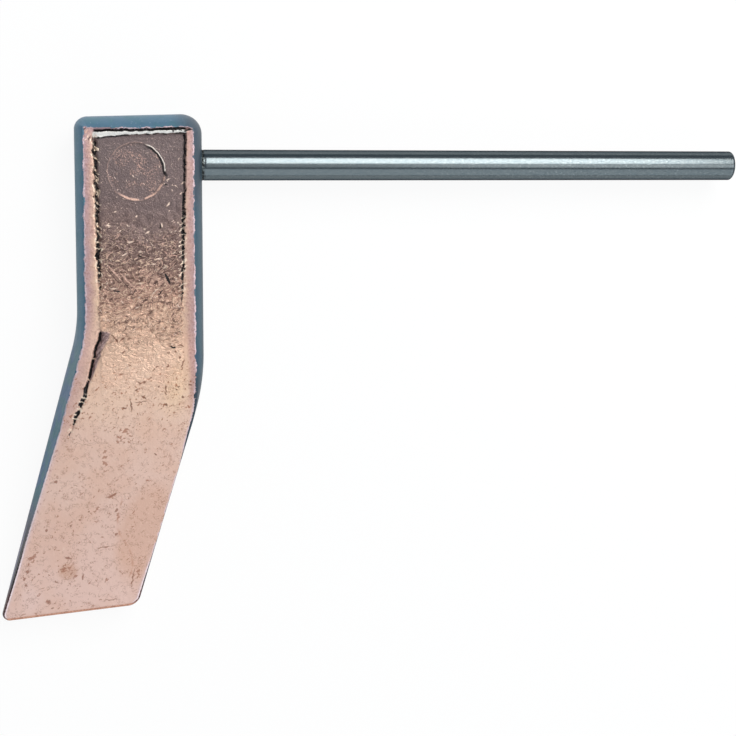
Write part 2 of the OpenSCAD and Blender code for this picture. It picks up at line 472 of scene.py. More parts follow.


# The copper head: its finish
# Bare copper, warm and pale where the die has rubbed it. Over it are painted: a brown reflection
# of darker surroundings on the panel's floor, black shade in the creases, a slate blue reflection
# of a blue surround on the forged side, and highlights and shade on the step, strips, ring and rim.
def paint(red, green, blue):
    """Linear colour from screen levels of 0 to 255: the share over 12.92 where it is dark, and
    past that the share plus 0.055, over 1.055, to the power 2.4."""
    level = np.array([red, green, blue]) / 255
    linear = np.where(level <= 0.04045, level / 12.92, ((level + 0.055) / 1.055) ** 2.4)
    return (*linear, 1.0)


def node(kind, inputs=None, output=0, **settings):
    """Add a shader node to the tree in hand, give its inputs values or other nodes' outputs, and
    return one of its outputs. Each material's lines set the tree before they add to it."""
    made = tree.nodes.new("ShaderNode" + kind)
    for setting, value in settings.items():
        setattr(made, setting, value)
    for key, value in (inputs or {}).items():
        if isinstance(value, bpy.types.NodeSocket):
            tree.links.new(value, made.inputs[key])
        else:
            made.inputs[key].default_value = value
    return made.outputs[output]


def mixed(share, first, second):
    """The first colour, turning into the second as the share goes from 0 to 1."""
    return node("Mix", {0: share, 6: first, 7: second}, 2, data_type="RGBA")


def eased(value, low, high):
    """Ease a value from 0 at low to 1 at high."""
    inputs = {"Value": value, "From Min": low, "From Max": high}
    return node("MapRange", inputs, interpolation_type="SMOOTHSTEP")


def maths(operation, first, second=0.0):
    """One sum, such as MULTIPLY or ADD, of two values."""
    return node("Math", {0: first, 1: second}, operation=operation)


def times(*values):
    """The product of several values."""
    product = values[0]
    for value in values[1:]:
        product = maths("MULTIPLY", product, value)
    return product


def plus(*values):
    """The sum of several values."""
    total = values[0]
    for value in values[1:]:
        total = maths("ADD", total, value)
    return total


def painted(base, colour, *shares):
    """The base colour with another one over it, as far as the product of the shares goes."""
    return mixed(times(*shares), base, colour)


def mask(name):
    """A paint mask of the mesh."""
    return node("Attribute", output=2, attribute_name=name)


def coordinate(place, axis):
    """One coordinate of a place, in metres."""
    return node("SeparateXYZ", {0: place}, axis)


def speckle(place, size, detail=3.0, roughness=0.5, distortion=0.0):
    """Noise from 0 to 1 with spots of about the given size in millimetres."""
    return node("TexNoise", {
        "Vector": place,
        "Scale": 1 / (size * MM),
        "Detail": detail,
        "Roughness": roughness,
        "Distortion": distortion,
    })


def turned(place, angle, longer):
    """Object coordinates for marks that run one way: turned about Z, and longer along that way."""
    inputs = {"Vector": place, "Rotation": (0, 0, np.radians(angle)), "Scale": (longer, 1, 1)}
    return node("Mapping", inputs, vector_type="TEXTURE")


def marks(place, size, level, width, share):
    """Short curved marks: the places where a noise is within a width of a level, kept only
    where a broader noise is in its highest share."""
    noise = speckle(place, size, 2, 0.5, 0.8)
    line = eased(maths("ABSOLUTE", maths("SUBTRACT", noise, level)), width, 0.3 * width)
    broad_noise = speckle(place, 2.2 * size, 1)
    return maths("MULTIPLY", line, eased(broad_noise, 0.68 - 0.4 * share, 0.76 - 0.4 * share))


def ladder(value, stops):
    """A colour that goes through stops of (value, colour), straight from each to the next."""
    low = stops[0][0]
    high = stops[-1][0]
    share = node("MapRange", {"Value": value, "From Min": low, "From Max": high})
    made = tree.nodes.new("ShaderNodeValToRGB")
    for index, (level, colour) in enumerate(stops):
        share_here = (level - low) / (high - low)
        if index in (0, len(stops) - 1):
            stop = made.color_ramp.elements[0 if index == 0 else -1]
            stop.position = share_here
        else:
            stop = made.color_ramp.elements.new(share_here)
        stop.color = paint(*colour)
    tree.links.new(share, made.inputs[0])
    return made.outputs[0]


def new_material(name):
    """An empty node material with one Principled surface: its tree and the surface's node."""
    material = bpy.data.materials.new(name)
    material.use_nodes = True
    return material, material.node_tree, material.node_tree.nodes["Principled BSDF"]


def around(value, middle, reach, soft=0.3):
    """1 where a value is within a reach of a middle, easing to 0 at the reach. A reach that a
    node gives is kept over 0."""
    away = maths("ABSOLUTE", maths("SUBTRACT", value, middle))
    if isinstance(reach, bpy.types.NodeSocket):
        reach = maths("MAXIMUM", reach, 0.001)
        return eased(away, reach, maths("MULTIPLY", reach, 1 - soft))
    return eased(away, reach, reach * (1 - soft))


def centred(noise, reach):
    """Noise as a shift of up to half the reach to either side."""
    return times(maths("SUBTRACT", noise, 0.5), reach)


def spots(place, shapes, soft=0.5):
    """1 inside any of several thin ellipses, each given as (x, y, length, width, angle), easing
    to 0 at its edge. A ball's gradient, squeezed to the ellipse, falls from 1 at its centre to
    0 at its edge, and is eased up to 1 by the time it has risen to soft."""
    total = None
    for x, y, length, width, angle in shapes:
        local = node("Mapping", {
            "Vector": place,
            "Location": (x * MM, y * MM, 0),
            "Rotation": (0, 0, np.radians(angle)),
            "Scale": (length / 2 * MM, width / 2 * MM, 1),
        }, vector_type="TEXTURE")
        inside = eased(node("TexGradient", {0: local}, 1, gradient_type="SPHERICAL"), 0.0, soft)
        total = inside if total is None else maths("MAXIMUM", total, inside)
    return total


copper, tree, surface = new_material("forged_copper")
place = node("TexCoord", output=3)
across_face = maths("DIVIDE", coordinate(place, 0), MM)
along = maths("DIVIDE", coordinate(place, 1), MM)
front = eased(coordinate(place, 2), -1 * MM, 1 * MM)
broad = speckle(place, 9)
middling = speckle(place, 1.8, 4)
fine = speckle(place, 0.45, 3)
grit = speckle(place, 0.3, 2, 0.7)
height_on_face = plus(along, centred(broad, 12.0))

# Places nudged a little, so that the marks drawn as ellipses come out uneven. The last node
# moves nothing: it hands the places on as the kind that the marks take, which spares the
# renderer a conversion for each mark.
nudge_across = centred(speckle(place, 0.9, 2), 0.9 * MM)
nudge_along = centred(speckle(turned(place, 60, 1.1), 0.9, 2), 0.9 * MM)
nudge = node("CombineXYZ", {0: nudge_across, 1: nudge_along})
uneven = node("VectorMath", {0: place, 1: nudge}, operation="ADD")
uneven = node("Mapping", {"Vector": uneven})

# The panel's floor and the plain face below it, and the strips beside the creases. The floor's
# brown, deep at the top and paling downwards, is a painted reflection of darker surroundings.
panel_colour = ladder(height_on_face, [
    (-100, (230, 194, 181)),
    (-80, (227, 191, 176)),
    (-62, (229, 194, 177)),
    (-52, (234, 198, 175)),
    (-42, (227, 188, 163)),
    (-36, (208, 168, 144)),
    (-30, (173, 134, 116)),
    (-22, (118, 92, 85)),
    (-8, (102, 85, 84)),
    (6, (98, 84, 84)),
])
from_rim = mask("from_rim")
is_left = eased(across_face, -12.0, -16.0)
past_bend = times(is_left, eased(along, -30.0, -42.0))
strip_depth = plus(from_rim, centred(middling, 1.8), times(past_bend, 0.5))
# Painted light and shade across each rounded strip: mauve shade at the rim, turning to a pale highlight
# on the crest further in, and darker on the right strip
strip_colour = ladder(strip_depth, [
    (0.0, (178, 150, 157)),
    (0.9, (187, 152, 149)),
    (1.7, (203, 167, 152)),
    (2.6, (222, 188, 161)),
])
strip_colour = painted(strip_colour, paint(218, 179, 168), past_bend, 0.65)
on_right = maths("SUBTRACT", 1.0, is_left)
strip_colour = painted(strip_colour, paint(176, 142, 128), on_right, 0.3)
pinker = times(on_right, eased(along, -36.0, -42.0), 0.4)
strip_colour = painted(strip_colour, paint(222, 174, 162), pinker)
pitted = plus(0.55, times(past_bend, -0.25))
strip_colour = painted(strip_colour, paint(150, 108, 104), eased(fine, 0.45, 0.7), pitted)

left_strip = times(is_left, eased(from_rim, 4.2, 2.4), eased(height_on_face, -70.0, -56.0))
right_strip = times(on_right, eased(from_rim, 2.3, 1.2))
right_strip = times(right_strip, eased(along, -58.0, -50.0))
strip_here = maths("MAXIMUM", left_strip, right_strip)
lower = eased(along, -34.0, -42.0)
lower = times(lower, maths("SUBTRACT", 1.0, strip_here))
on_panel = maths("MAXIMUM", mask("panel"), lower)
face = mixed(on_panel, strip_colour, panel_colour)

# Broad patches of another shade: the ellipse, how soft its edge is, how strong it is, its colour
patches = [
    ((-39.5, -94.0, 24.0, 9.0, 72), 0.9, 0.5, paint(238, 208, 200)),
    ((-14.5, -84.0, 30.0, 15.0, 74), 0.4, 0.55, paint(214, 168, 144)),
    ((-7.0, -50.0, 18.0, 8.0, 80), 0.9, 0.5, paint(240, 205, 166)),
    ((-32.2, -92.3, 6.0, 5.0, 0), 0.6, 0.55, paint(196, 146, 118)),
]
for ellipse, soft, strength, colour in patches:
    face = painted(face, colour, spots(uneven, [ellipse], soft), strength)

# Clouds, smudges, pores and small flaws of the bare lower face
bare = eased(along, -40.0, -50.0)
cloud = eased(speckle(place, 11, 3), 0.45, 0.65)
face = painted(face, paint(220, 172, 146), cloud, bare, 0.3)
smudges = [
    (-21.9, -74.7, 3.6, 2.0, 25),
    (-20.6, -79.8, 1.8, 3.4, 0),
    (-25.9, -78.1, 7.0, 1.6, 42),
    (-32.2, -92.3, 6.0, 5.5, 0),
    (-40.1, -89.0, 2.2, 5.5, -32),
    (-36.8, -99.2, 1.8, 1.8, 0),
    (-34.5, -64.6, 1.8, 14.0, -14),
    (-23.3, -66.8, 2.0, 9.0, 0),
    (-18.7, -60.9, 6.5, 6.5, 0),
    (-16.9, -94.0, 2.2, 9.0, -16),
]
smudged = times(spots(place, smudges, 0.7), front)
wavy_line = [
    (-19.9, -76.5, 4.0, 0.9, 76),
    (-20.7, -80.2, 4.6, 0.9, 82),
    (-20.4, -83.6, 3.4, 0.9, -68),
    (-19.1, -86.1, 3.2, 0.8, -56),
    (-18.0, -88.5, 3.2, 0.8, -72),
    (-17.6, -91.0, 3.2, 0.8, -86),
    (-18.1, -93.4, 3.2, 0.8, 68),
]
face = painted(face, paint(196, 138, 112), spots(uneven, wavy_line, 0.9), front, 0.5)
pores = marks(place, 0.7, 0.50, 0.05, 0.5)
face = painted(face, paint(160, 110, 88), pores, bare, 0.5)
flaws = speckle(turned(uneven, 35, 1.6), 0.55, 2)
dotted = times(eased(height_on_face, -62.0, -54.0), 0.035)
flaws = eased(plus(flaws, times(smudged, 0.15), dotted), 0.655, 0.705)
flaw_share = plus(0.62, times(dotted, 6.0))
face = painted(face, paint(156, 92, 62), flaws, bare, flaw_share)
shine = eased(fine, 0.56, 0.75)
face = painted(face, paint(240, 212, 198), shine, bare, 0.35)

# Wrinkles, worm-like ridges and flecks of the hammered part, with painted shade in the wrinkles'
# hollows and on one side of each worm-like ridge, and painted highlights on the crests, the
# ridges' other side and the flecks
struck = times(mask("panel"), eased(height_on_face, -56.0, -38.0))
hammered = times(struck, eased(height_on_face, -8.0, -24.0))
crumple = node("TexNoise", {
    "Vector": turned(place, 12, 1.8),
    "Scale": 1 / (0.85 * MM),
    "Detail": 2.0,
    "Roughness": 0.6,
    "Distortion": 0.7,
    "Offset": 1.0,
    "Gain": 2.0,
}, noise_type="RIDGED_MULTIFRACTAL")
wrinkle_shade_colour = mixed(eased(height_on_face, -30.0, -42.0), paint(80, 54, 46), paint(140, 98, 76))
creased = times(eased(crumple, 1.0, 0.5), hammered, eased(height_on_face, -52.0, -30.0))
face = painted(face, wrinkle_shade_colour, creased, 0.75)
face = painted(face, paint(240, 206, 178), eased(crumple, 1.4, 1.7), hammered, 0.6)

worm = speckle(turned(place, 35, 1.6), 1.3, 1, 0.5, 0.8)
worm_part = eased(speckle(place, 2.6, 1), 0.47, 0.55)
worm_region = times(worm_part, struck, eased(height_on_face, -10.0, -22.0))
worm_region = times(worm_region, eased(height_on_face, -46.0, -32.0))
face = painted(face, paint(70, 46, 42), around(worm, 0.46, 0.04, 0.6), worm_region, 0.7)
face = painted(face, paint(206, 166, 148), around(worm, 0.54, 0.055, 0.6), worm_region, 0.62)

flecks_up = speckle(turned(place, 40, 2.2), 0.5, 1)
flecks_down = speckle(turned(place, -50, 2.2), 0.55, 1)
flecks = maths("MAXIMUM", eased(flecks_up, 0.70, 0.76), eased(flecks_down, 0.71, 0.77))
fleck_region = times(struck, eased(height_on_face, 8.0, -6.0))
face = painted(face, paint(236, 208, 190), flecks, fleck_region, 0.8)
face = painted(face, paint(66, 50, 48), eased(grit, 0.42, 0.30), struck, 0.5)
face = painted(face, paint(190, 162, 150), eased(grit, 0.58, 0.70), struck, 0.5)

# The hollow beside the second crease, scored at a slant, with a painted mauve-grey shade
hollow = mask("hollow")
scoring = speckle(turned(place, 48, 3.0), 0.5, 2)
hollow_shade_colour = mixed(eased(scoring, 0.35, 0.6), paint(112, 88, 86), paint(180, 150, 146))
face = painted(face, hollow_shade_colour, eased(hollow, 0.02, 0.35))

# Marks that stand out on the front face, as ellipses: bright, dark and dull nicks, and small brown
# ones lower down, then two long scratches with painted shade along one side, and one deep nick
# painted black with shade. Some bright marks, such as the curved line by the top-left corner, are
# painted highlights.
light_marks = [
    (-8.0, -9.1, 1.6, 0.6, 65),
    (-19.6, -10.5, 1.2, 0.5, 25),
    (-21.3, -13.7, 1.5, 0.6, 0),
    (-12.7, -15.2, 1.8, 0.6, 30),
    (-9.4, -13.6, 1.6, 0.5, 100),
    (-15.0, -11.6, 0.7, 0.6, 0),
    (-13.2, -14.3, 0.7, 0.6, 0),
    (-5.8, -13.0, 0.7, 0.6, 0),
    (-17.9, -20.0, 2.0, 0.5, 37),
    (-16.4, -17.3, 2.2, 0.5, 5),
    (-14.4, -19.4, 1.0, 0.9, 0),
    (-10.3, -21.0, 2.2, 0.5, 15),
    (-11.6, -22.2, 1.8, 0.5, 18),
    (-20.5, -27.5, 2.8, 0.5, -5),
    (-9.1, -22.9, 1.6, 0.7, 40),
    (-11.3, -28.3, 3.4, 0.5, 45),
    (-7.9, -40.2, 0.7, 0.5, 0),
    (-25.2, -43.1, 1.9, 0.4, -22),
    (-26.3, -47.8, 2.1, 0.5, -44),
    (-7.8, -3.5, 1.0, 0.3, 5),
    (-4.5, -4.2, 1.4, 0.6, 45),
    (-5.1, -6.5, 1.0, 0.5, 60),
    (-24.5, 5.2, 2.2, 0.5, 66),
    (-25.4, 5.6, 2.4, 0.4, 56),
    (-23.6, 5.9, 1.6, 0.4, 48),
    (-26.9, 2.5, 3.4, 0.4, 82),
    (-27.9, 5.4, 0.7, 0.7, 0),
]
dark_marks = [
    (-9.8, -13.8, 1.6, 0.4, 105),
    (-14.4, -20.4, 0.9, 0.5, 0),
    (-19.8, -28.1, 2.2, 0.4, -10),
    (-10.0, -28.6, 2.2, 0.4, 46),
    (-7.6, -40.9, 1.9, 0.6, -8),
    (-2.1, -12.3, 2.2, 0.4, 42),
    (-8.4, -2.2, 2.2, 0.9, -58),
    (-8.3, -4.6, 0.9, 0.6, 0),
    (-3.2, 7.4, 2.4, 0.7, 14),
    (-6.7, 7.5, 1.2, 0.7, -40),
    (-5.0, 7.4, 1.1, 0.6, -30),
    (-5.8, 8.0, 1.4, 0.5, 0),
    (-22.9, 5.5, 0.9, 0.8, 0),
]
dull_marks = [
    (-14.2, -23.6, 2.4, 0.5, 30),
    (-12.9, -24.9, 2.0, 0.5, 32),
    (-26.4, 6.6, 2.2, 0.7, 50),
    (-25.4, 6.9, 1.6, 0.6, 62),
]
brown_marks = [
    (-24.9, 5.5, 2.0, 0.35, 62),
    (-26.0, 7.3, 2.0, 0.3, 55),
    (-20.4, -38.7, 3.0, 0.4, -50),
    (-18.9, -38.8, 2.0, 0.4, 45),
    (-18.6, -41.7, 1.1, 0.5, 45),
    (-5.6, -44.7, 2.6, 0.5, 68),
    (-6.2, -43.3, 1.0, 0.8, 0),
    (-8.7, -42.2, 1.0, 0.5, 20),
    (-7.0, -41.9, 0.6, 0.5, 0),
    (-5.3, -42.1, 0.6, 0.5, 0),
    (-5.9, -40.6, 1.8, 0.35, -10),
    (-8.8, -45.1, 1.1, 0.6, 70),
    (-12.0, -45.9, 1.6, 0.3, 40),
    (-11.2, -45.2, 0.6, 0.5, 0),
    (-12.7, -47.7, 0.7, 0.5, 0),
    (-11.1, -49.8, 0.8, 0.7, 0),
    (-9.4, -51.4, 0.9, 0.4, -45),
    (-6.4, -50.0, 0.8, 0.6, 0),
    (-7.0, -50.5, 1.0, 0.4, -40),
    (-3.8, -49.6, 1.2, 0.5, -20),
    (-5.7, -52.3, 0.9, 0.8, 0),
    (-9.4, -54.0, 1.0, 0.6, 30),
    (-5.7, -45.8, 1.4, 0.4, 60),
    (-15.3, -48.8, 1.4, 0.5, -35),
    (-14.2, -48.7, 1.1, 0.5, -20),
    (-15.9, -50.3, 1.4, 0.6, 50),
    (-14.3, -52.1, 1.9, 0.5, -45),
    (-9.3, -50.3, 2.0, 0.5, -75),
    (-18.7, -54.4, 1.0, 0.6, 0),
    (-17.2, -53.8, 3.4, 0.35, -84),
    (-15.0, -53.2, 3.6, 0.3, 3),
    (-17.3, -44.8, 1.3, 0.4, -35),
    (-11.9, -65.4, 1.2, 0.5, -50),
    (-22.1, -74.7, 3.0, 0.7, 25),
    (-21.0, -78.2, 1.6, 0.8, 60),
    (-21.1, -83.8, 1.2, 0.6, 40),
    (-23.7, -86.8, 4.4, 0.25, 8),
    (-32.1, -89.0, 2.4, 0.7, -8),
    (-34.2, -70.9, 1.4, 0.6, 10),
    (-36.8, -82.1, 1.0, 0.8, 45),
    (-38.5, -77.7, 1.3, 0.5, -75),
    (-41.3, -91.8, 1.2, 0.8, 80),
    (-41.9, -93.4, 1.3, 0.7, 70),
    (-41.6, -95.0, 1.2, 0.6, -60),
    (-34.9, -94.6, 1.3, 0.5, -20),
    (-29.0, -93.7, 1.7, 0.5, 75),
    (-36.8, -99.3, 1.3, 0.9, 60),
    (-36.0, -100.8, 0.8, 0.5, 0),
    (-29.3, -80.1, 0.8, 0.5, 20),
    (-31.2, -81.4, 0.7, 0.5, -30),
    (-27.2, -78.3, 0.6, 0.6, 0),
    (-17.6, -94.5, 6.0, 0.35, 76),
    (-22.7, -99.7, 3.4, 0.35, 5),
]
face = painted(face, paint(214, 172, 152), spots(uneven, dull_marks), front, 0.8)
scratches = [(-20.0, -24.2, 6.8, 0.6, -50), (-17.6, -25.6, 5.6, 0.55, -49)]
face = painted(face, paint(214, 174, 156), spots(place, scratches, 0.6), front, 0.85)
scratch_sides = [(-20.6, -24.7, 6.4, 0.3, -50), (-18.0, -26.4, 5.6, 0.3, -49)]
face = painted(face, paint(78, 56, 52), spots(place, scratch_sides, 0.6), front, 0.8)
nick = [(-8.5, -25.5, 3.0, 0.7, -64)]
face = painted(face, paint(22, 14, 14), spots(place, nick, 0.25), front)
brown = mixed(eased(along, -28.0, -36.0), paint(66, 46, 44), paint(122, 78, 58))
brown = painted(brown, paint(158, 110, 90), eased(along, -62.0, -72.0))
face = painted(face, brown, spots(uneven, brown_marks), front, 0.85)

# The step at the panel's top with a painted highlight, the cracks over and under it with painted
# black shade, and painted shade on the lip above
jag = plus(centred(middling, 0.9), centred(fine, 0.5))
sides = times(eased(mask("from_left"), -0.5, 0.1), eased(mask("from_right"), -0.5, 0.1))
from_top = plus(mask("from_top"), times(jag, 0.4))
foot_rise = times(eased(across_face, -23.0, -15.0), 0.5)
from_foot = plus(from_top, foot_rise, -step_foot)
step = times(eased(from_top, step_top, step_top + 0.1), eased(from_foot, 0.0, -0.12))
step = times(step, sides)
face = painted(face, paint(255, 252, 245), step)
lip_shade = times(eased(from_top, step_top - 0.3, step_top - 0.6), sides, 0.75)
face = painted(face, paint(132, 110, 117), lip_shade)
top_crack = times(around(from_top, step_top - 0.17, 0.40, 0.4), sides)
foot_crack = times(around(from_foot, 0.12, 0.16, 0.5), sides, eased(middling, 0.42, 0.52))


def slivers(distance, spacing, reach, kept, wide=0.16):
    """Bright slivers of torn metal across a crease: bands a share of the spacing wide that repeat
    along Y, slanting down across the crease, each kept or not by noise."""
    wander = centred(middling, 1.7)
    tooth = maths("FRACT", plus(times(along, 1 / spacing), times(distance, 0.42), wander))
    found = eased(speckle(place, 1.4, 1), 0.62 - 0.3 * kept, 0.70 - 0.3 * kept)
    return times(around(tooth, 0.5, wide, 0.5), around(distance, 0.0, reach, 0.3), found)


# The creases along the panel's two sides, and the second one that runs down from the bend, each
# painted with black shade
below_step = eased(from_top, step_foot - 0.4, step_foot)
left_gap = plus(mask("from_left"), times(jag, 0.9))
left_on = eased(along, -32.0, -22.0)
left_on = times(left_on, eased(from_top, step_foot + 0.5, step_foot + 1.2))
left_thick = plus(centred(speckle(place, 1.1, 2), 1.6), 0.40)
left_crack = around(left_gap, 0.0, times(left_thick, left_on))
left_slivers = times(slivers(left_gap, 2.3, 1.0, 0.7), eased(along, -7.0, -5.0))
left_lower = times(slivers(left_gap, 1.8, 0.9, 0.8, 0.18), eased(along, -5.0, -7.0))
left_slivers = times(maths("MAXIMUM", left_slivers, left_lower), left_on)
right_gap = plus(mask("from_right"), times(jag, 0.7))
right_on = times(eased(along, -33.0, -24.0), below_step)
right_thick = plus(centred(speckle(place, 0.9, 2), 1.7), 0.20)
right_thick = plus(right_thick, times(eased(along, -6.0, -11.0), 0.14))
right_crack = around(right_gap, 0.0, times(right_thick, right_on))
right_slivers = times(slivers(right_gap, 1.25, 1.0, 0.8), right_on, eased(along, -8.0, -16.0))
second_gap = plus(mask("beside_second"), times(jag, 0.5))
second_run = node("MapRange", {"Value": along, "From Min": -37.0, "From Max": -60.5})
second_on = eased(along, -36.8, -37.4)
thin = plus(0.36, times(second_run, -0.18), times(centred(middling, 2.2), second_run))
torn = times(eased(along, -48.0, -50.5), eased(along, -59.5, -55.0), 0.28)
thin = plus(thin, torn)
second_crack = around(second_gap, 0.0, times(thin, second_on, eased(along, -61.0, -59.0)))
second_slivers = times(slivers(second_gap, 0.95, 0.9, 0.9, 0.2), eased(along, -50.5, -52.0))
second_slivers = times(second_slivers, eased(along, -61.0, -58.0))

# Painted black shade in the creases and in the cracks by the step, then the bright slivers
for crack in (top_crack, foot_crack, left_crack, right_crack, second_crack):
    face = painted(face, paint(24, 18, 20), crack)
for bright in (left_slivers, right_slivers, second_slivers):
    face = painted(face, paint(240, 218, 196), bright, 0.9)

# The struck ring: a painted highlight on its lip on the right, painted shade inside it, and plain
# scuffs on its floor
ring_out = plus(mask("ring_out"), centred(middling, 0.55))
ring_line = around(ring_out, 0.12, 0.15, 0.5)
right_arc = eased(mask("ring_right"), 0.73, 0.90)
foot_arc = eased(mask("ring_foot"), 0.42, 0.75)
shade_reach = plus(0.30, centred(fine, 0.5))
ring_shade = times(around(ring_out, -0.24, shade_reach, 0.4), right_arc)
scuffs = times(eased(mask("ring_out"), 0.0, -0.6), eased(grit, 0.50, 0.66), worm_part)
face = painted(face, paint(196, 156, 140), scuffs, 0.6)
face = painted(face, paint(186, 150, 134), ring_line, 0.35, eased(fine, 0.3, 0.6))
face = painted(face, paint(36, 28, 30), ring_shade)
foot_line = times(around(ring_out, 0.0, 0.32, 0.7), foot_arc, eased(middling, 0.34, 0.48))
face = painted(face, paint(212, 172, 154), foot_line, 0.8)
face = painted(face, paint(246, 232, 220), ring_line, right_arc)
face = painted(face, paint(30, 20, 20), spots(uneven, dark_marks), front)
face = painted(face, paint(240, 212, 192), spots(uneven, light_marks, 0.8), front, 0.85)

# The forged side, painted slate blue as a reflection of a blue surround, with painted shade
# towards its outer edge and towards the working edge, and a painted reflection of the shank beside it
side_reflection_colour = mixed(middling, paint(82, 117, 140), paint(96, 130, 152))
teal = times(eased(speckle(place, 3.2, 3), 0.48, 0.62), 0.4)
side_reflection_colour = painted(side_reflection_colour, paint(76, 122, 130), teal)
side_reflection_colour = painted(side_reflection_colour, paint(146, 170, 186), flecks, 0.45)
left_flank = times(is_left, eased(along, 9.0, 5.0), eased(along, -44.0, -36.0), 0.15)
side_reflection_colour = painted(side_reflection_colour, paint(112, 128, 128), left_flank)
outer_shade = times(eased(from_rim, -1.2, -3.0), eased(along, 9.0, 5.0))
side_reflection_colour = painted(side_reflection_colour, paint(30, 98, 122), outer_shade, is_left, 0.8)
blue_or_teal = eased(speckle(place, 4.0, 3), 0.42, 0.58)
lower_blue = mixed(blue_or_teal, paint(26, 86, 130), paint(2, 97, 112))
side_reflection_colour = painted(side_reflection_colour, lower_blue, eased(along, -36.0, -44.0), 0.85)
near_shank = times(eased(across_face, -8.0, -1.0), 0.8)
shank_reflection_colour = mixed(eased(along, -6.0, -12.0), paint(78, 82, 90), paint(70, 90, 101))
side_reflection_colour = painted(side_reflection_colour, shank_reflection_colour, near_shank)
side_reflection_colour = painted(side_reflection_colour, paint(34, 60, 72), outer_shade, on_right, 0.7)
side_reflection_colour = painted(side_reflection_colour, paint(52, 66, 78), on_right, eased(along, -44.0, -52.0))
side_reflection_colour = painted(side_reflection_colour, paint(50, 62, 84), eased(along, -72.0, -82.0))

# Low on the left the side's upper half carries painted shade, almost black, and its lower half a
# pale painted highlight, and it ends dark red at the working edge
half_down_slope = 0.076
half_down_start = 8.16
half_down = plus(from_rim, times(along, half_down_slope), half_down_start)
low_side_shading = mixed(eased(half_down, 0.15, -0.15), paint(12, 10, 24), paint(120, 118, 142))
low_side_shading = painted(low_side_shading, paint(70, 18, 24), eased(along, -94.0, -98.0))
side_reflection_colour = painted(side_reflection_colour, low_side_shading, is_left, eased(along, -78.0, -86.0))

# The working edge's nose, worn bare
nose_colour = mixed(eased(fine, 0.4, 0.6), paint(210, 154, 128), paint(176, 122, 98))
side_reflection_colour = painted(side_reflection_colour, nose_colour, mask("nose"))

# The rim, where the face turns over into the side, with a painted highlight along it: ragged
# above, even and pale lower down
over_rim = plus(from_rim, centred(middling, 1.7), centred(fine, 0.5))
towards_edge = eased(along, -52.0, -62.0)
even_rim = plus(from_rim, centred(fine, 0.3))
over_rim = node("Mix", {0: towards_edge, 2: over_rim, 3: even_rim})
past_outer_bend = times(eased(along, -44.0, -53.0), eased(along, -70.0, -58.0), on_right)
over_rim = plus(over_rim, times(past_outer_bend, -0.52))
over_rim = plus(over_rim, times(is_left, eased(along, -83.0, -93.0), -0.22))
on_side = eased(over_rim, 0.06, -0.06)
low_left = times(is_left, eased(along, -56.0, -66.0))
face = painted(face, paint(226, 196, 198), low_left, eased(from_rim, 1.4, 0.3), 0.45)
rim_found = maths("MAXIMUM", eased(middling, 0.40, 0.53), times(past_bend, 0.8))
rim_highlight_line = times(around(over_rim, 0.16, 0.24, 0.7), rim_found)
rim_highlight_colour = mixed(past_bend, paint(222, 198, 206), paint(212, 196, 208))
rim_highlight_colour = painted(rim_highlight_colour, paint(255, 236, 238), low_left)
face = painted(face, rim_highlight_colour, rim_highlight_line, 0.8)
face = painted(face, nose_colour, mask("nose"), 0.7)
tree.links.new(mixed(on_side, face, side_reflection_colour), surface.inputs["Base Color"])

# How the copper shines, and its fine relief, in millimetres
metal = maths("MULTIPLY", maths("SUBTRACT", 1.0, step), 0.35)
tree.links.new(metal, surface.inputs["Metallic"])
gloss = node("MapRange", {"Value": middling, "To Min": 0.32, "To Max": 0.5})
tree.links.new(gloss, surface.inputs["Roughness"])
bumps = plus(times(fine, 0.05), times(middling, 0.05), times(grit, struck, 0.05))
bumps = plus(bumps, times(crumple, hammered, 0.12), times(flecks, fleck_region, 0.06))
bumps = plus(bumps, times(eased(worm, 0.46, 0.54), worm_region, 0.08))
bumps = plus(bumps, times(step, plus(from_top, -step_top), 0.8))
raised = node("Bump", {"Strength": 1.0, "Distance": MM, "Height": bumps})
tree.links.new(raised, surface.inputs["Normal"])

head.data.materials.append(copper)
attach(head, "root")
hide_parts("copper_head")


# The steel shank
# Ground round bar, turned to a small bevel at its free end. Its root is knurled and pressed
# into the head, and the last of the knurl shows at the bore's mouth.
shank_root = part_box("steel_shank")[0].x / MM
shank_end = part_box("steel_shank")[1].x / MM
shank_radius = 3.5
root_radius = 3.7
bevel = 0.6
end_ripple = 0.012
knurl_end = 0.55
groove_count = 24
groove_depth = 0.25
groove_sharpness = 1.6
shank_sides = 192


def shank_profile():
    """The bar's outline as distance along and radius: the bevelled knurled root, a short
    shoulder, the plain bar, the rounded bevel and the turned end face."""
    root = [(shank_root, 0.0), (shank_root, 1.6), (shank_root, 3.1), (shank_root + 0.5, root_radius)]
    knurl = [(x, root_radius) for x in np.linspace(shank_root + 1, 0.0, 30)]
    shoulder = [(0.25, shank_radius + 0.02), (knurl_end, shank_radius - 0.06)]
    shoulder.append((knurl_end + 0.25, shank_radius))
    bar = [(x, shank_radius) for x in np.linspace(1.2, shank_end - bevel - 0.15, 130)]
    turn = np.linspace(0, np.pi / 2, 9)
    corner_x = shank_end - bevel + bevel * np.sin(turn)
    corner_radius = shank_radius - bevel * (1 - np.cos(turn))
    corner = list(zip(corner_x, corner_radius))
    ends = np.linspace(shank_radius - bevel - 0.05, 0.0, 24)
    end_face = [(shank_end - end_ripple * (1 + np.sin(r * 21)), r) for r in ends]
    return np.array(root + knurl + shoulder + bar + corner + end_face)


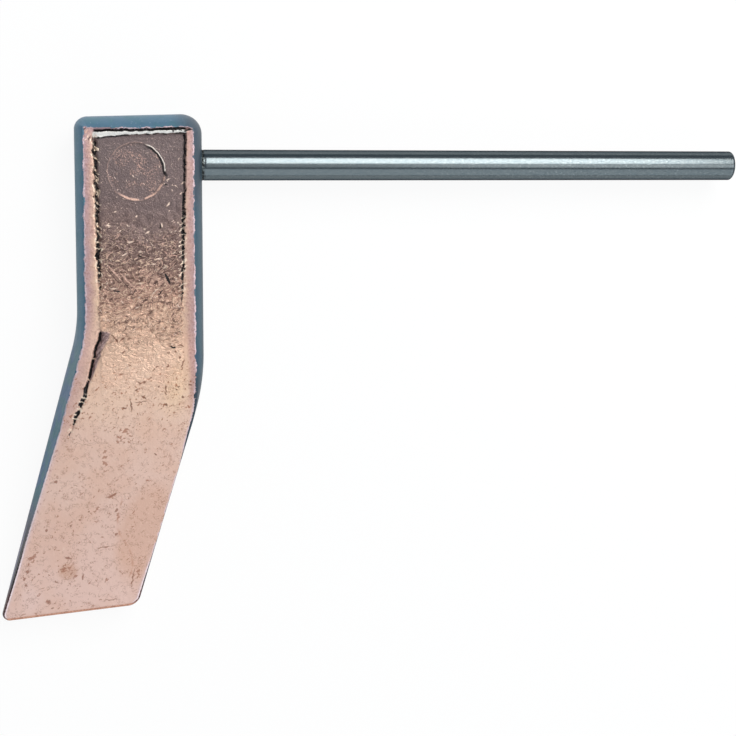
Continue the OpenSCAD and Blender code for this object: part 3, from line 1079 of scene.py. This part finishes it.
outline = shank_profile()
turns = np.linspace(0, 2 * np.pi, shank_sides + 1)[:-1]
teeth = np.abs((turns * groove_count / (2 * np.pi)) % 1 - 0.5) * 2
on_skin = outline[:, 1] > 3.2
grooved = smooth(knurl_end + 0.05, -0.6, outline[:, 0]) * on_skin
groove = groove_depth * np.clip(1 - teeth * groove_sharpness, 0, 1)
radius = outline[:, 1][:, None] - groove[None] * grooved[:, None]
shank_grid = np.stack([
    np.broadcast_to(outline[:, :1], radius.shape),
    radius * np.cos(turns),
    radius * np.sin(turns),
], -1)
rings = shank_grid[1:-1]
poles = [[shank_root, 0, 0], [shank_end - end_ripple, 0, 0]]
shank_points = np.concatenate([rings.reshape(-1, 3), poles])
index = np.arange(rings[..., 0].size).reshape(rings.shape[:2])
index = np.hstack([index, index[:, :1]])
root_pole = np.full(len(turns), len(shank_points) - 2)
root_cap = np.stack([index[0, :-1], index[0, 1:], root_pole], -1)
end_cap = np.stack([index[-1, 1:], index[-1, :-1], root_pole + 1], -1)
shank_faces = [*quads(index, True).tolist(), *root_cap.tolist(), *end_cap.tolist()]
shank = smooth_object("ground_shank", shank_points, shank_faces)

# Ground lines along the bar, blotches, specks that are fainter near the head, and painted shade,
# almost black, on the knurl where the shank meets the head. The steel's colours are written as
# linear ones.
steel, tree, surface = new_material("ground_steel")
place = node("TexCoord", output=3)
ground = node("Mapping", {"Vector": place, "Scale": (0.5, 1.6, 1.6)})
streaks = speckle(ground, 0.8, 4, 0.6)
blotches = speckle(place, 0.5, 3, 0.6)
steel_colour = mixed(eased(streaks, 0.3, 0.7), (0.108, 0.135, 0.147, 1), (0.127, 0.151, 0.160, 1))
steel_colour = painted(steel_colour, (0.26, 0.28, 0.29, 1), eased(blotches, 0.62, 0.75), 0.3)
specks = speckle(node("Mapping", {"Vector": place, "Scale": (0.6, 1, 1)}), 0.34, 2, 0.7)
worn = plus(0.35, times(eased(coordinate(place, 0), 30 * MM, 85 * MM), 0.65))
steel_colour = painted(steel_colour, (0.22, 0.25, 0.26, 1), eased(specks, 0.56, 0.68), worn, 0.5)
steel_colour = painted(steel_colour, (0.045, 0.062, 0.072, 1), eased(specks, 0.44, 0.32), worn, 0.35)
in_knurl = eased(coordinate(place, 0), 0.75 * MM, 0.45 * MM)
knurl_shade_colour = mixed(eased(blotches, 0.45, 0.6), (0.01, 0.012, 0.013, 1), (0.1, 0.12, 0.12, 1))
steel_colour = painted(steel_colour, knurl_shade_colour, in_knurl)
tree.links.new(steel_colour, surface.inputs["Base Color"])
surface.inputs["Metallic"].default_value = 1.0
surface.inputs["Coat Weight"].default_value = 0.4
surface.inputs["Coat Roughness"].default_value = 0.45
surface.inputs["Specular Tint"].default_value = (0.1, 0.12, 0.15, 1)
gloss = node("MapRange", {"Value": streaks, "To Min": 0.18, "To Max": 0.23})
tree.links.new(gloss, surface.inputs["Roughness"])
relief = maths("ADD", streaks, blotches)
raised = node("Bump", {"Strength": 0.15, "Distance": 0.01 * MM, "Height": relief})
tree.links.new(raised, surface.inputs["Normal"])
shank.data.materials.append(steel)
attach(shank, "root")
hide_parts("steel_shank")


# The floor, the light and the camera
# A wide pale floor under the back face, four soft boxes and a dim blue room. The floor shows
# white to the camera and in reflections, the room to the camera alone, and from below the
# floor is clear. The camera stands as in the photograph.
floor_reach = 4000
floor_glow = 0.92
white = (1, 1, 1, 1)
dim_blue = (0.175, 0.235, 0.28, 1)
floor_points = np.array([[-1, -1], [1, -1], [1, 1], [-1, 1]]) * floor_reach
floor_points = np.column_stack([floor_points, np.full(4, -head_half)])
floor = smooth_object("floor", floor_points, [(0, 1, 2, 3)])
floor_material, tree, surface = new_material("pale_floor")
tree.nodes.remove(surface)
lit = node("BsdfDiffuse", {"Color": (0.9, 0.9, 0.9, 1)})
rays = tree.nodes.new("ShaderNodeLightPath").outputs
seen = maths("MAXIMUM", rays["Is Glossy Ray"], rays["Is Transmission Ray"])
seen = times(maths("MAXIMUM", seen, rays["Is Camera Ray"]), floor_glow)
glow = node("Emission", {"Color": white, "Strength": 1.0})
whitened = node("MixShader", {0: seen, 1: lit, 2: glow})
clear = node("BsdfTransparent")
underside = node("NewGeometry", output=6)
one_sided = node("MixShader", {0: underside, 1: whitened, 2: clear})
tree.links.new(one_sided, tree.nodes["Material Output"].inputs["Surface"])
floor.data.materials.append(floor_material)

room = bpy.data.worlds.new("room")
bpy.context.scene.world = room
room.use_nodes = True
tree = room.node_tree
rays = tree.nodes.new("ShaderNodeLightPath").outputs
backdrop = tree.nodes["Background"]
backdrop.inputs["Strength"].default_value = 1.0
room_colour = mixed(rays["Is Camera Ray"], dim_blue, white)
tree.links.new(room_colour, backdrop.inputs["Color"])


def soft_box(name, middle, lean, width, height, radiance, tint=(1, 1, 1)):
    """A rectangular lamp of even radiance with its width along X, leaning about X by degrees
    from level. Its power is the radiance times its area times pi."""
    lamp = bpy.data.lights.new(name, "AREA")
    lamp.shape = "RECTANGLE"
    lamp.color = tint
    lamp.size = width
    lamp.size_y = height
    lamp.energy = radiance * width * height * np.pi
    made = linked(bpy.data.objects.new(name, lamp))
    made.location = middle
    made.rotation_euler = (np.radians(lean), 0, 0)
    made.visible_camera = False


# Each box's middle in metres, its lean, width, height, radiance and tint
warm = (1.0, 0.955, 0.92)
soft_box("key_box", (0.215, 0.309, 0.514), -31, 0.41, 0.44, 6.5, (1.0, 0.96, 0.925))
soft_box("fill_box", (0.25, -0.80, 0.48), 59, 1.1, 0.95, 1.1)
soft_box("top_box", (0.475, -0.06, 0.60), 0, 0.55, 0.28, 1.9, warm)
soft_box("near_box", (0.10, -0.06, 0.60), 0, 0.20, 0.28, 0.75, warm)

view = bpy.data.cameras.new("camera")
camera = linked(bpy.data.objects.new("camera", view))
bpy.context.scene.camera = camera
picture_width = 736
focal_pixels = 1400
view.sensor_width = 36
view.lens = view.sensor_width * focal_pixels / picture_width
view.shift_y = 0.5 / picture_width
view.clip_start = 0.01

# The camera's place in metres and its turns in degrees, fitted to the photograph's outline
camera.location = (-0.028171, -0.014892, 0.323442)
camera.rotation_euler = np.radians((-5.5806, -11.7105, -0.4743))
bpy.context.scene.view_settings.view_transform = "Standard"
